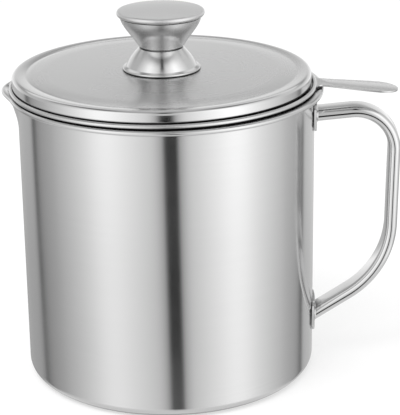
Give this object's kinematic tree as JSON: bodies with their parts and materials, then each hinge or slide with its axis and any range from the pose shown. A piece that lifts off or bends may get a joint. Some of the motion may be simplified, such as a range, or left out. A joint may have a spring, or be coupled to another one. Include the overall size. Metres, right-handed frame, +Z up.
{
  "type": "grease container",
  "caption": "Stainless steel cup with a pouring lip and a tube handle, a lift-out strainer with a lifting tongue, and a lift-off lid with a waisted knob",
  "frame": {"origin": "centre of the cup's flat base, on the surface it stands on", "axes": "+Z is up, +X points from the cup to its handle, the pouring lip is on the -X side, +Y completes the frame"},
  "size_m": [0.1615, 0.1272, 0.1524],
  "materials": {
    "brushed_steel": "brushed round the cup",
    "satin_steel": "satin",
    "polished_steel": "polished",
    "woven_wire": "woven wire",
    "plated_steel": "plated"
  },
  "bodies": {
    "pot": {"cup_body": "brushed_steel", "handle_tube": "polished_steel", "upper_handle_plate": "polished_steel", "lower_handle_plate": "polished_steel"},
    "strainer": {"strainer_frame": "satin_steel", "strainer_mesh": "woven_wire", "mesh_band": "satin_steel"},
    "lid": {"lid_shell": "satin_steel", "knob_foot": "polished_steel", "knob_cup": "polished_steel", "knob_cap": "satin_steel", "knob_boss": "plated_steel", "lid_washer": "plated_steel", "lid_screw": "plated_steel"}
  },
  "joints": [
    {"name": "strainer_lift", "type": "slide", "parent": "pot", "child": "strainer", "axis": [0, 0, 1], "range_m": [0, 0.07]},
    {"name": "lid_lift", "type": "slide", "parent": "strainer", "child": "lid", "axis": [0, 0, 1], "range_m": [0, 0.06]}
  ]
}
